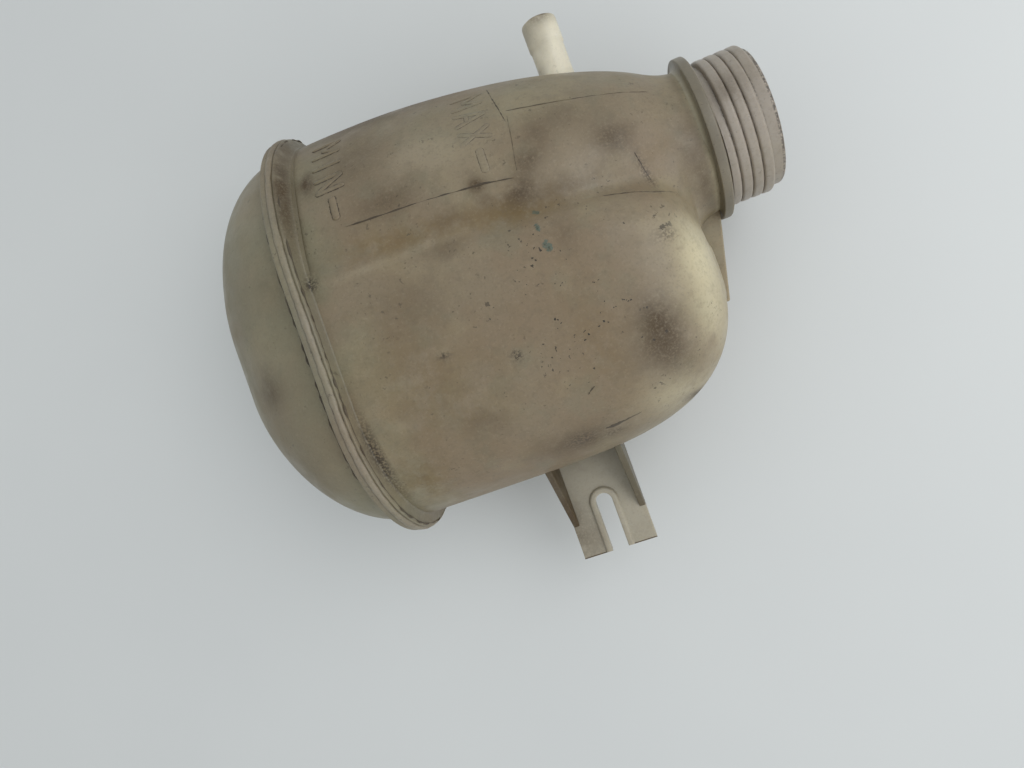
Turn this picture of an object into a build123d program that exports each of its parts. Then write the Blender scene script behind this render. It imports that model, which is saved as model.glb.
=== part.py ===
from build123d import *
from math import asin, atan, cos, sin, sqrt
import os

# A car's coolant expansion tank, lying on its back as it comes to rest on a flat floor.
# Places on the tank are given along its axis from the weld plane (neck side positive),
# across it (towards the bracket positive) and in depth (towards the floor positive).

# Walls and the weld between the two mouldings
wall = 3.0
flange_reach = 4.5
flange_thickness = 4.6
bead_height = 0.8
bead_thickness = 1.3

# Outline at the weld: half-ellipse over the upper lobe, straight sides, half-ellipse under the main lobe
lobe_depth = 46.0
upper_centre = 6.0
upper_rise = 57.3
main_centre = 48.0
main_drop = 44.0

# Main lobe of the body
main_length = 128.0
main_rise = 48.0
main_end_rise = 34.0
main_corner = 8.0
main_end_corner = 18.0

# Upper lobe of the body, cut short of its vertex where the neck begins
upper_length = 131.0
upper_cut = 13.0
upper_depth = 43.5
upper_end_centre = -3.0

# Domed end cap
cap_depth = 45.5
cap_centre = 19.0

# Filler neck
neck_bore_radius = 20.0
neck_wall = 3.4
neck_step = 1.0
neck_height = 9.0
collar_reach = 4.0
collar_thickness = 3.5
collar_round = 0.8
lip_round = 1.2

# Coarse thread for the pressure cap
thread_length = 19.4
thread_depth = 1.6
thread_pitch = 3.7
thread_start = 1.6
thread_runout = 3.0
thread_foot_share = 0.36
thread_crest_share = 0.12
thread_sink = 0.7

# Rib that props the neck on the end wall
rib_thickness = 3.0
rib_root = 14.0
rib_foot = 56.0
rib_foot_height = 1.0

# Vent hose nipple
nipple_station = 100.0
nipple_length = 22.7
nipple_bore_radius = 4.2
nipple_wall = 1.8
nipple_bead = 0.4
nipple_bead_length = 10.0
nipple_bead_chamfer = 1.0

# Fixing bracket
bracket_station = 62.4
bracket_width = 28.8
bracket_length = 37.5
bracket_depth = 14.0
plate_thickness = 3.0
slot_width = 6.4
slot_length = 21.9
rim_width = 2.2
rim_height = 1.2
web_thickness = 2.4
web_length = 25.0
web_reach = 21.0

# Lower coolant outlet on the end cap
outlet_across = 15.0
outlet_depth = 25.0
outlet_length = 12.5
outlet_bore_radius = 5.8
outlet_wall = 2.2
outlet_bead = 0.8
outlet_bead_length = 5.0


def barrel(share, power):
    """Share of the full size that is left at a share of the way along a rounded length."""
    return sqrt(1 - share**power)


def stations(count, end):
    """Shares of a length at which its sections lie, closer together where it turns in."""
    return [sin(asin(end) * step / (count - 1)) for step in range(count)]


half_turn = 180
section_count = 10
last_section_share = 0.99
upper_section_count = 7
rounded_stations = stations(section_count, last_section_share)
upper_stations = [step / (upper_section_count - 1) for step in range(upper_section_count)]

# Powers of the rounded lengths: a high power keeps its size and then turns in sharply
main_drop_power = 5.6
main_depth_power = 12
main_rise_power = 24
upper_rise_power = 1.6
upper_depth_power = 3.5
cap_power = 2
cap_top_power = 2.25

# Sizes worked out from those above
bead_reach = flange_reach + bead_height
upper_vertex = upper_length + upper_cut
lobe_bottom = main_centre + main_drop
thread_root_radius = neck_bore_radius + neck_wall
neck_radius = thread_root_radius + neck_step
collar_radius = neck_radius + collar_reach
collar_front = upper_length + neck_height
mouth = collar_front + thread_length
thread_turns = (thread_length - thread_start - thread_runout) / thread_pitch
nipple_radius = nipple_bore_radius + nipple_wall
nipple_bead_radius = nipple_radius + nipple_bead
bracket_tip = lobe_bottom + bracket_length
slot_end = bracket_tip - slot_length + slot_width / 2
outlet_end = cap_depth + outlet_length
outlet_radius = outlet_bore_radius + outlet_wall
outlet_bead_radius = outlet_radius + outlet_bead


def upper_size(station, inset):
    """Centre, rise and depth of the upper lobe's ellipse at a distance from the weld, drawn in by a wall."""
    centre = upper_centre + (upper_end_centre - upper_centre) * station / upper_length
    share = station / upper_vertex
    rise = (upper_rise - inset) * barrel(share, upper_rise_power)
    depth = (upper_depth - inset) * barrel(share, upper_depth_power)
    return centre, rise, depth


nipple_centre, nipple_rise, _ = upper_size(nipple_station, 0)
nipple_tip = nipple_rise - nipple_centre + nipple_length

# Lying angle: the weld bead and the main lobe's side both touch the floor
bead_depth = lobe_depth + bead_reach
touching_steps = 100
touching_shares = [step / touching_steps for step in range(touching_steps // 2, touching_steps)]
rest_slope = min(
    (bead_depth - lobe_depth * barrel(share, main_depth_power)) / (share * main_length - bead_thickness)
    for share in touching_shares
)
rest_angle = atan(rest_slope)

# The tank's axis starts at the weld, with the whole part's box centred on the origin
mouth_reach = mouth * cos(rest_angle) + (thread_root_radius - lip_round) * sin(rest_angle)
outlet_reach = outlet_end * cos(rest_angle) + (outlet_depth + outlet_bead_radius) * sin(rest_angle)
weld_x = (outlet_reach - mouth_reach) / 2
weld_y = (bracket_tip - nipple_tip) / 2
weld_z = bead_depth * cos(rest_angle) + bead_thickness * sin(rest_angle)
axis = Plane(
    origin=(weld_x, weld_y, weld_z),
    x_dir=(0, -1, 0),
    z_dir=(cos(rest_angle), 0, -sin(rest_angle)),
)
middle = Plane(origin=axis.origin, x_dir=axis.z_dir, z_dir=axis.y_dir)


def weld_outline(growth=0.0, share=1.0, top_share=1.0):
    """Face of the outline at the weld, grown all round and drawn in to shares about the cap's centre."""
    depth = (lobe_depth + growth) * share
    drop = (main_drop + growth) * share
    rise = (upper_rise + growth) * top_share
    upper = cap_centre + (upper_centre - cap_centre) * top_share
    main = cap_centre + (main_centre - cap_centre) * share
    with BuildSketch() as outline:
        with BuildLine():
            EllipticalCenterArc((main, 0), drop, depth, start_angle=-90, arc_size=half_turn)
            Line((main, depth), (upper, depth))
            EllipticalCenterArc((upper, 0), rise, depth, start_angle=90, arc_size=half_turn)
            Line((upper, -depth), (main, -depth))
        make_face()
    return outline.sketch


def main_outline(share, inset):
    """Face of the main lobe's section at a share of its length, drawn in by a wall."""
    side = barrel(share, main_depth_power)
    drop = (main_drop - inset) * barrel(share, main_drop_power)
    tapered_rise = main_rise + (main_end_rise - main_rise) * share
    rise = (tapered_rise - inset) * barrel(share, main_rise_power)
    depth = (lobe_depth - inset) * side
    corner = (main_corner + (main_end_corner - main_corner) * share) * side
    top = main_centre - rise
    with BuildSketch() as outline:
        with BuildLine():
            EllipticalCenterArc((main_centre, 0), drop, depth, start_angle=-90, arc_size=half_turn)
            Line((main_centre, depth), (top + corner, depth))
            CenterArc((top + corner, depth - corner), corner, 90, 90)
            Line((top, depth - corner), (top, corner - depth))
            CenterArc((top + corner, corner - depth), corner, 180, 90)
            Line((top + corner, -depth), (main_centre, -depth))
        make_face()
    return outline.sketch


def upper_outline(station, inset):
    """Face of the upper lobe's section at a distance from the weld, drawn in by a wall."""
    centre, rise, depth = upper_size(station, inset)
    with BuildSketch() as outline:
        with Locations((centre, 0)):
            Ellipse(rise, depth)
    return outline.sketch


with BuildPart() as tank_body:
    # Shell, solid at first
    for share in upper_stations:
        with BuildSketch(axis.offset(share * upper_length)):
            add(upper_outline(share * upper_length, 0))
    loft()
    for share in rounded_stations:
        with BuildSketch(axis.offset(share * main_length)):
            add(main_outline(share, 0))
    loft()
    # Weld flange and its half of the bead
    with BuildSketch(axis):
        add(weld_outline(flange_reach))
    extrude(amount=flange_thickness)
    with BuildSketch(axis):
        add(weld_outline(bead_reach))
    extrude(amount=bead_thickness)
    # Neck, collar and the core of the thread
    with BuildSketch(axis.offset(upper_length / 2)):
        Circle(neck_radius)
    extrude(amount=collar_front - upper_length / 2)
    with BuildSketch(axis.offset(collar_front)):
        Circle(collar_radius)
    extrude(amount=-collar_thickness)
    collar_face = tank_body.faces().sort_by(Axis(axis.origin, axis.z_dir))[-1]
    fillet(collar_face.edges(), collar_round)
    with BuildSketch(axis.offset(collar_front)):
        Circle(thread_root_radius)
    extrude(amount=thread_length)
    mouth_face = tank_body.faces().sort_by(Axis(axis.origin, axis.z_dir))[-1]
    fillet(mouth_face.edges(), lip_round)
    # Rib from the collar down the end wall
    with BuildSketch(middle.offset(-rib_thickness / 2)):
        with BuildLine():
            Polyline(
                (main_length - rib_root, 0),
                (collar_front - collar_thickness, 0),
                (collar_front - collar_thickness, neck_radius),
                (main_length + rib_foot_height, rib_foot),
                (main_length - rib_root, rib_foot),
                close=True,
            )
        make_face()
    extrude(amount=rib_thickness)
    # Bracket plate with a raised rim along its slot
    bracket_root = main_centre + main_drop / 2
    with BuildSketch(middle.offset(bracket_depth)):
        with BuildLine():
            Polyline(
                (bracket_station - bracket_width / 2, bracket_root),
                (bracket_station - bracket_width / 2, bracket_tip),
                (bracket_station + bracket_width / 2, bracket_tip),
                (bracket_station + bracket_width / 2, bracket_root),
                close=True,
            )
        make_face()
    extrude(amount=plate_thickness)
    with BuildSketch(middle.offset(bracket_depth)):
        with Locations((bracket_station, slot_end)):
            Circle(slot_width / 2 + rim_width)
        with Locations((bracket_station, (slot_end + bracket_tip) / 2)):
            Rectangle(slot_width + 2 * rim_width, bracket_tip - slot_end)
    extrude(amount=-rim_height)
    # Three-cornered webs along both edges of the plate
    web_back = bracket_depth + plate_thickness
    web_end = lobe_bottom + web_length
    web_slope = web_reach / web_length
    for edge in (bracket_station - bracket_width / 2, bracket_station + bracket_width / 2 - web_thickness):
        with BuildSketch(axis.offset(edge)):
            with BuildLine():
                Polyline(
                    (bracket_root, web_back),
                    (web_end, web_back),
                    (web_end, bracket_depth),
                    (bracket_root, bracket_depth - web_slope * (web_end - bracket_root)),
                    close=True,
                )
            make_face()
        extrude(amount=web_thickness)
    # Vent nipple with its thick end
    nipple_base = Plane(
        origin=axis.offset(nipple_station).origin,
        x_dir=axis.z_dir,
        z_dir=-axis.x_dir,
    )
    with BuildSketch(nipple_base.offset(neck_bore_radius)):
        Circle(nipple_radius)
    extrude(amount=nipple_tip - neck_bore_radius)
    with BuildSketch(nipple_base.offset(nipple_tip)):
        Circle(nipple_bead_radius)
    extrude(amount=-nipple_bead_length)
    nipple_face = tank_body.faces().sort_by(Axis(nipple_base.origin, nipple_base.z_dir))[-1]
    chamfer(nipple_face.edges(), nipple_bead_chamfer)
    # Hollow inside, bores and slot
    for share in upper_stations:
        with BuildSketch(axis.offset(share * upper_length)):
            add(upper_outline(share * upper_length, wall))
    loft(mode=Mode.SUBTRACT)
    for share in rounded_stations:
        with BuildSketch(axis.offset(share * (main_length - wall))):
            add(main_outline(share, wall))
    loft(mode=Mode.SUBTRACT)
    with BuildSketch(axis.offset(mouth)):
        Circle(neck_bore_radius)
    extrude(amount=upper_length / 2 - mouth, mode=Mode.SUBTRACT)
    with BuildSketch(nipple_base.offset(nipple_tip)):
        Circle(nipple_bore_radius)
    extrude(amount=neck_bore_radius - nipple_tip, mode=Mode.SUBTRACT)
    with BuildSketch(middle.offset(bracket_depth - rim_height)):
        with Locations((bracket_station, slot_end)):
            Circle(slot_width / 2)
        with Locations((bracket_station, (slot_end + bracket_tip) / 2)):
            Rectangle(slot_width, bracket_tip - slot_end)
    extrude(amount=plate_thickness + rim_height, mode=Mode.SUBTRACT)
    # Coarse thread for the pressure cap
    thread_foot = axis.offset(collar_front + thread_start).origin
    with BuildLine() as thread_path:
        Helix(
            thread_pitch,
            thread_pitch * thread_turns,
            thread_root_radius,
            center=thread_foot,
            direction=axis.z_dir,
        )
    first = thread_path.line @ 0
    with BuildSketch(Plane(first, x_dir=first - thread_foot, z_dir=thread_path.line % 0)):
        with BuildLine():
            Polyline(
                (-thread_sink, -thread_pitch * thread_foot_share),
                (thread_depth, -thread_pitch * thread_crest_share),
                (thread_depth, thread_pitch * thread_crest_share),
                (-thread_sink, thread_pitch * thread_foot_share),
                close=True,
            )
        make_face()
    sweep(path=thread_path.line, is_frenet=True)
tank_body.part.label = "tank_body"

with BuildPart() as end_cap:
    # Dome, solid at first
    for share in rounded_stations:
        with BuildSketch(axis.offset(-share * cap_depth)):
            add(weld_outline(0, barrel(share, cap_power), barrel(share, cap_top_power)))
    loft()
    # Weld flange and its half of the bead
    with BuildSketch(axis):
        add(weld_outline(flange_reach))
    extrude(amount=-flange_thickness)
    with BuildSketch(axis):
        add(weld_outline(bead_reach))
    extrude(amount=-bead_thickness)
    # Outlet with its thick end
    with BuildSketch(axis.offset(-outlet_end)):
        with Locations((outlet_across, outlet_depth)):
            Circle(outlet_radius)
    extrude(amount=outlet_end - flange_thickness)
    with BuildSketch(axis.offset(-outlet_end)):
        with Locations((outlet_across, outlet_depth)):
            Circle(outlet_bead_radius)
    extrude(amount=outlet_bead_length)
    # Hollow inside and the outlet's bore
    for share in rounded_stations:
        with BuildSketch(axis.offset(-share * (cap_depth - wall))):
            add(weld_outline(-wall, barrel(share, cap_power), barrel(share, cap_top_power)))
    loft(mode=Mode.SUBTRACT)
    with BuildSketch(axis.offset(-outlet_end)):
        with Locations((outlet_across, outlet_depth)):
            Circle(outlet_bore_radius)
    extrude(amount=outlet_end, mode=Mode.SUBTRACT)
end_cap.part.label = "end_cap"

os.makedirs("parts", exist_ok=True)
export_step(tank_body.part, "parts/tank_body.step")
export_step(end_cap.part, "parts/end_cap.step")
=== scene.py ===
from math import pi, radians

import bpy
import numpy as np
from mathutils import Matrix, Vector


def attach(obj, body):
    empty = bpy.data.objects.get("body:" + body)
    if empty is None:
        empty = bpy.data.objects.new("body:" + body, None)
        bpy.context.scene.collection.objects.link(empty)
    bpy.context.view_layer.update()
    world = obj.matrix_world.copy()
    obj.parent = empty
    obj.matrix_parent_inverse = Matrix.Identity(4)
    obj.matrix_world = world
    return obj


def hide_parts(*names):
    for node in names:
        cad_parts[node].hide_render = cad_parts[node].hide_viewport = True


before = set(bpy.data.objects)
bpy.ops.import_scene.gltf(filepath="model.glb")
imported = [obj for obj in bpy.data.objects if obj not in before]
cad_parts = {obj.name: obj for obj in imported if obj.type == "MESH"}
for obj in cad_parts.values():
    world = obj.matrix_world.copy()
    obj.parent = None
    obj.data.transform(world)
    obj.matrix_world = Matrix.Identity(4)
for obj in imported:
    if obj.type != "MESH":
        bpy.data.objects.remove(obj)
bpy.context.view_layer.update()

# Tank axes: along the axis from the weld plane, across towards the bracket, up away from the floor, in mm
REST_ANGLE = 0.0631843
WELD = np.array([-50.2326, 33.9171, 51.2797])
ALONG = np.array([np.cos(REST_ANGLE), 0.0, -np.sin(REST_ANGLE)])
ACROSS = np.array([0.0, -1.0, 0.0])
UP = np.array([np.sin(REST_ANGLE), 0.0, np.cos(REST_ANGLE)])
AXES = np.stack([ALONG, ACROSS, UP])
MM = 0.001
PER_METRE = 1000.0

# Shell sizes in mm, as in the solids
WALL = 3.0
LOBE_DEPTH, UPPER_DEPTH = 46.0, 43.5
UPPER_CENTRE, UPPER_END_CENTRE = 6.0, -3.0
UPPER_RISE, UPPER_LENGTH, UPPER_VERTEX = 57.3, 131.0, 144.0
MAIN_CENTRE, MAIN_DROP, MAIN_LENGTH = 48.0, 44.0, 128.0
MAIN_RISE, MAIN_END_RISE = 48.0, 34.0
MAIN_CORNER, MAIN_END_CORNER = 8.0, 18.0
CREASE_FILLET, CREASE_FILLET_GAIN = 1.6, 3.4
CAP_DEPTH, CAP_CENTRE = 45.5, 19.0
FLANGE_REACH, FLANGE_SUNK = 4.5, 1.5
BEAD_REACH = 5.3
NECK_RADIUS, NECK_BORE, COLLAR_RADIUS = 24.4, 20.0, 28.4
NECK_FILLET, NECK_FILLET_GAIN, NECK_FILLET_SPAN = 4.0, 10.0, (2.0, 16.0)
COLLAR_FRONT, COLLAR_THICKNESS, MOUTH = 140.0, 3.5, 159.4
COLLAR_BACK = COLLAR_FRONT - COLLAR_THICKNESS
THREAD_ROOT, THREAD_DEPTH, THREAD_PITCH = 23.4, 1.6, 3.7
THREAD_START, THREAD_TURNS = 141.6, 4.0
COLLAR_FILLET, BACK_ROUND, FRONT_ROUND = 2.4, 0.5, 0.8
THREAD_FILLET, LIP_ROUND, BORE_ROUND, BORE_END = 0.9, 1.2, 0.8, 130.0
RIB_INSIDE, RIB_TOP, RIB_FOOT, RIB_HALF = 110.0, 10.0, 56.0, 1.5
NIPPLE_STATION, NIPPLE_BASE, NIPPLE_TIP = 100.0, 34.0, 61.67
NIPPLE_RADIUS, NIPPLE_BEAD, NIPPLE_BORE = 6.0, 6.4, 4.2
NIPPLE_BEAD_LENGTH, NIPPLE_CHAMFER = 10.0, 1.0
OUTLET_ACROSS, OUTLET_UP, OUTLET_BASE, OUTLET_END = 15.0, -25.0, 28.0, 58.0
OUTLET_RADIUS, OUTLET_BEAD, OUTLET_BORE = 8.0, 8.8, 5.8
OUTLET_BEAD_LENGTH, OUTLET_CHAMFER = 5.0, 0.6
BRACKET_STATION, BRACKET_WIDTH, BRACKET_ROOT, BRACKET_TIP = 62.4, 28.8, 70.0, 129.5
BRACKET_LEFT, BRACKET_RIGHT = BRACKET_STATION - BRACKET_WIDTH / 2, BRACKET_STATION + BRACKET_WIDTH / 2
BRACKET_FACE, PLATE = -14.0, 3.0
BRACKET_UNDER = BRACKET_FACE - PLATE
SLOT_END, SLOT_WIDTH, RIM_WIDTH, RIM_HEIGHT = 110.8, 6.4, 2.2, 1.2
WEB_THICKNESS, WEB_END, WEB_SLOPE = 2.4, 117.0, 0.84

# Powers of the rounded lengths: the higher the power, the longer a section keeps its size
UPPER_RISE_POWER, UPPER_DEPTH_POWER = 1.6, 3.5
MAIN_DEPTH_POWER, MAIN_DROP_POWER, MAIN_RISE_POWER = 12, 5.6, 24
CAP_TOP_POWER, TOOTH_POWER = 2.25, 5.0

# Steps of the grids: the weld's outline has two half-ellipses and two sides
BOW_STEPS, SIDE_STEPS = 100, 44
COLUMNS = 2 * (BOW_STEPS + SIDE_STEPS)
TUBE_COLUMNS = 96

# Limits of the fields and of the rays that look for the skin
SMALLEST_HALF = 0.05
LAST_SECTION = 0.992
STEEPEST, GENTLEST, SLOPE_STEP = 3.0, 0.3, 0.1
FAN_START, LINE_OFFSET, SKIN_REACH = 100.0, 25.0, 125.0
HEIGHT_REACH, NORMAL_STEP = 60.0, 0.4
RIPPLE = 0.10

# Angles in degrees past which an edge is drawn sharp, on the large pieces, the thread and the fine relief
SHARP, THREAD_SHARP, FINE_SHARP = 35.0, 50.0, 60.0


def place(along, across, up):
    """Places in metres of points given in tank axes: the weld centre plus each distance times its axis."""
    parts = np.broadcast_arrays(along, across, up)
    return (WELD + np.stack(parts, -1) @ AXES) * MM


def tank_axes(points):
    """The three distances in mm of places in metres: their offset from the weld centre along each axis."""
    return np.moveaxis((points / MM - WELD) @ AXES.T, -1, 0)


def rise(value, low, high):
    """Smooth step from nought at low to one at high."""
    share = np.clip((value - low) / (high - low), 0, 1)
    return share * share * (3 - 2 * share)


def band(value, low, low_full, high_full, high):
    """One between the two middle values, falling smoothly to nought at the outer two."""
    return rise(value, low, low_full) * rise(-value, -high, -high_full)


def bell(value, centre, half):
    """Bell curve: one at the centre, and about a third at a half size away from it."""
    return np.exp(-(((value - centre) / half) ** 2))


# Shapes as fields: below zero inside, zero on the skin


def barrel(share, power):
    """Share of the full size left on a rounded length: root of one less the share to a power."""
    return np.sqrt(np.clip(1 - np.clip(share, 0, 1) ** power, 0, 1))


def ellipse(across, up, half_across, half_up):
    """Field of an ellipse: the share by which a point lies past it, times its mean half-axis."""
    share = np.sqrt((across / half_across) ** 2 + (up / half_up) ** 2)
    return (share - 1) * np.sqrt(half_across * half_up)


def upper_lobe(along, across, up, inset):
    """Ellipse whose centre slides and whose half-axes shrink along the axis as rounded lengths."""
    share = along / UPPER_VERTEX
    centre = UPPER_CENTRE + (UPPER_END_CENTRE - UPPER_CENTRE) * along / UPPER_LENGTH
    half_across = np.maximum((UPPER_RISE - inset) * barrel(share, UPPER_RISE_POWER), SMALLEST_HALF)
    half_up = np.maximum((UPPER_DEPTH - inset) * barrel(share, UPPER_DEPTH_POWER), SMALLEST_HALF)
    return ellipse(across - centre, up, half_across, half_up)


def main_lobe(along, across, up, inset):
    """Half-ellipse below a box with rounded corners, both shrinking along the axis as rounded lengths; past
    the last section the field climbs steadily to a flat end."""
    length = MAIN_LENGTH - inset
    last = np.minimum(along, LAST_SECTION * length)
    share = np.clip(last / length, 0, 1)
    depth = (LOBE_DEPTH - inset) * barrel(share, MAIN_DEPTH_POWER)
    drop = (MAIN_DROP - inset) * barrel(share, MAIN_DROP_POWER)
    tapered = MAIN_RISE + (MAIN_END_RISE - MAIN_RISE) * share
    height = (tapered - inset) * barrel(share, MAIN_RISE_POWER)
    corner = (MAIN_CORNER + (MAIN_END_CORNER - MAIN_CORNER) * share) * barrel(share, MAIN_DEPTH_POWER)
    corner = np.minimum(corner, np.minimum(depth, height))
    side = np.abs(up) - depth + corner
    top = MAIN_CENTRE - across - height + corner
    past_corner = np.hypot(np.maximum(side, 0), np.maximum(top, 0))
    box = past_corner + np.minimum(np.maximum(side, top), 0) - corner
    low = ellipse(across - MAIN_CENTRE, up, drop, depth)
    section = np.where(across > MAIN_CENTRE, low, box)
    return np.maximum(section + STEEPEST * (along - last), STEEPEST * (along - length))


def levelled(field, along, across, up, inset):
    """A field divided by its own slope, which makes it a distance in mm close to the skin; where it climbs
    very fast along the axis, the slope is held."""
    here = field(along, across, up, inset)
    climb = np.minimum(np.abs(field(along + SLOPE_STEP, across, up, inset) - here), STEEPEST * SLOPE_STEP)
    sideways = field(along, across + SLOPE_STEP, up, inset) - here
    upwards = field(along, across, up + SLOPE_STEP, inset) - here
    slope = np.sqrt(climb**2 + sideways**2 + upwards**2) / SLOPE_STEP
    return here / np.maximum(slope, GENTLEST)


def neck_tube(along, across, up, radius):
    """Distance to a round bar along the axis that starts half way along the upper lobe."""
    return np.maximum(np.hypot(across, up) - radius, UPPER_LENGTH / 2 - along)


def blended(first, second, width):
    """The lower of two fields, with a fillet of a given width where they are nearly equal."""
    nearness = np.maximum(width - np.abs(first - second), 0) / width
    return np.minimum(first, second) - nearness**2 * width / 4


def shell_field(along, across, up, inset, neck_radius):
    """Both lobes and the neck joined with fillets: the crease's fillet widens away from the weld, and the
    neck's towards the main lobe."""
    upper = levelled(upper_lobe, along, across, up, inset)
    main = levelled(main_lobe, along, across, up, inset)
    crease_fillet = CREASE_FILLET + CREASE_FILLET_GAIN * np.clip(along / MAIN_LENGTH, 0, 1)
    neck_fillet = NECK_FILLET + NECK_FILLET_GAIN * rise(across, *NECK_FILLET_SPAN)
    lobes = blended(upper, main, crease_fillet)
    return blended(lobes, neck_tube(along, across, up, neck_radius), neck_fillet)


def outer_field(along, across, up):
    """Field of the shell's outer skin."""
    return shell_field(along, across, up, 0.0, NECK_RADIUS)


def crossing(field, start, direction, reach, steps=22):
    """Distance along each ray at which a field changes sign, found by halving the reach again and again."""
    near = np.zeros_like(start[0])
    far = np.full_like(near, reach)
    for _ in range(steps):
        middle = (near + far) / 2
        inside = field(*[s + d * middle for s, d in zip(start, direction)]) < 0
        near = np.where(inside, middle, near)
        far = np.where(inside, far, middle)
    return (near + far) / 2


def shell_skin(inset, neck_radius, ring_rows, fan_rows, neck_end):
    """Rays from a line inside the tank, square to the axis and then fanned towards the neck, met with the
    field; a faint ripple keeps the skin from being too even."""
    turn = np.linspace(0, 2 * pi, COLUMNS, endpoint=False)[None, :]
    square = np.linspace(0, 1, ring_rows)[:, None]
    widest = pi / 2 - np.arctan2(neck_radius, neck_end - FAN_START)
    fan = np.linspace(0, widest, fan_rows + 1)[1:, None]
    tilt = np.concatenate([np.zeros_like(square), fan]) + 0 * turn
    share = np.concatenate([square, np.ones_like(fan)]) + 0 * turn
    start = (FAN_START * share, LINE_OFFSET * (1 - share**2), 0 * share)
    direction = (np.sin(tilt), np.cos(tilt) * np.sin(turn), np.cos(tilt) * np.cos(turn))
    reach = crossing(lambda *spot: shell_field(*spot, inset, neck_radius), start, direction, SKIN_REACH)
    along, across, up = [s + d * reach for s, d in zip(start, direction)]
    ripple = RIPPLE * np.sin(along / 9 + across / 14) * np.sin(across / 11 - up / 17 + 1.3)
    return [value + d * ripple for value, d in zip((along, across, up), direction)]


def skin_height(along, across):
    """Height of the upper face of the shell over points of the mid-plane, by halving."""
    zero = np.zeros_like(along)
    return crossing(outer_field, (along, across, zero), (zero, zero, zero + 1.0), HEIGHT_REACH)


def skin_normal(along, across, up):
    """Unit slope of the outer skin's field in tank axes, from points a step to either side."""
    spot = np.stack([along, across, up])
    steps = np.eye(3)[:, :, None] * NORMAL_STEP
    slope = np.stack([outer_field(*(spot + step)) - outer_field(*(spot - step)) for step in steps], -1)
    return slope / np.linalg.norm(slope, axis=-1, keepdims=True)


# Meshes from grids


def grid_faces(rows, columns, rows_closed, columns_closed):
    """Corner numbers of the quads of a grid, which may close on itself either way."""
    row = np.arange(rows if rows_closed else rows - 1)[:, None]
    column = np.arange(columns if columns_closed else columns - 1)[None, :]
    next_row, next_column = (row + 1) % rows, (column + 1) % columns
    corners = [
        row * columns + column,
        row * columns + next_column,
        next_row * columns + next_column,
        next_row * columns + column,
    ]
    return np.stack([c + 0 * (row + column) for c in corners], -1).reshape(-1, 4)


def closed_grid(points, rows_closed=False, ends="open"):
    """Points and faces of one closed surface: a ring of rows, or rows whose ends get poles or flat caps."""
    rows, columns = points.shape[:2]
    flat = points.reshape(-1, 3)
    faces = [grid_faces(rows, columns, rows_closed, True)]
    ring = np.arange(columns)
    last_ring = (rows - 1) * columns + ring
    if ends == "caps":
        faces += [ring[None, ::-1], last_ring[None]]
    if ends == "poles":
        first_pole = np.full(columns, len(flat))
        flat = np.concatenate([flat, points[:1].mean(1), points[-1:].mean(1)])
        faces += [
            np.stack([np.roll(ring, -1), ring, first_pole], -1),
            np.stack([last_ring, np.roll(last_ring, -1), first_pole + 1], -1),
        ]
    return outward(flat, faces)


def outward(points, faces):
    """Turns the faces round if the volume they hold, a sum of corner products, comes out below zero."""
    volume = 0.0
    for group in faces:
        corners = points[group] - points[0]
        for corner in range(1, group.shape[1] - 1):
            across_face = np.cross(corners[:, corner], corners[:, corner + 1])
            volume += np.einsum("ij,ij->", corners[:, 0], across_face)
    return (points, faces) if volume > 0 else (points, [group[:, ::-1] for group in faces])


def piece(name, surfaces, material, node, sharp=SHARP):
    """Joins closed surfaces into one mesh, marks where it is worn and where light and shade are painted, and
    sets it on its body.
    """
    points = np.concatenate([surface[0] for surface in surfaces])
    starts = np.cumsum([0] + [len(surface[0]) for surface in surfaces])
    faces = []
    for start, (_, groups) in zip(starts, surfaces):
        for group in groups:
            faces += (group + start).tolist()
    mesh = bpy.data.meshes.new(name)
    mesh.from_pydata(points.tolist(), [], faces)
    for mark, values in wear_and_painted_light_marks(*tank_axes(points)).items():
        attribute = mesh.attributes.new(mark, "FLOAT", "POINT")
        attribute.data.foreach_set("value", values.astype(np.float32))
    mesh.materials.append(material)
    mesh.shade_smooth()
    mesh.set_sharp_from_angle(angle=radians(sharp))
    made = bpy.data.objects.new(name, mesh)
    bpy.context.scene.collection.objects.link(made)
    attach(made, "root")
    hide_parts(node)
    return made


# Where years in an engine bay have marked the tank, and where light and shade are painted on it. Each soft
# patch: its strength, its centre along and across, and its half sizes along and across
GRIME = [
    (0.85, 102, 53, 7, 7),
    (0.95, 101, 63, 8.5, 8),
    (0.30, 106, 71, 6, 5),
    # Darker along the upper lobe's top edge, in these two patches
    (0.90, 40, -47, 32, 7),
    (0.90, 44, -51, 32, 4),
    (0.35, 108, 84, 7, 4),
    (1.00, 108, 82, 6, 1.5),
    (0.65, 36, -10, 13, 7),
    (0.55, 28, -29, 12, 10),
    (1.30, 10.5, -27, 2.6, 4.5),
    (1.15, 3.5, -26, 2.5, 22),
    (0.60, 5.0, 66, 1.5, 13),
    (0.50, 42, 67, 7, 5),
    (0.70, 66, 83, 16, 5),
    (1.10, 76, 3.5, 6, 5),
    (1.20, 64, -3.6, 2.6, 2.6),
    (0.50, 65, 1.5, 3, 4),
    (0.85, 81, -5, 4.5, 4),
    (0.55, 91, 6.5, 10, 3.5),
    (0.95, 108.5, -3, 7, 6),
    (0.45, 86, -11, 4, 7),
    (0.45, 97, -15, 11, 6),
    (0.35, 53, 3, 6, 3.5),
    (0.40, 49, 12, 5, 4),
    (0.50, 84.6, 22, 3, 5),
    (1.20, -24, 33, 5, 6.5),
    (0.40, -9, 2, 5, 10),
    (0.60, 130, 9, 5, 13),
    (0.45, 132, 19, 2.5, 6),
    (0.35, -24, 64, 10, 12),
    (0.30, 34, 24, 14, 9),
]
NECK_GRIME = [(0.80, 147, -6, 5, 6), (0.20, 155, -5, 4, 8)]
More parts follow.
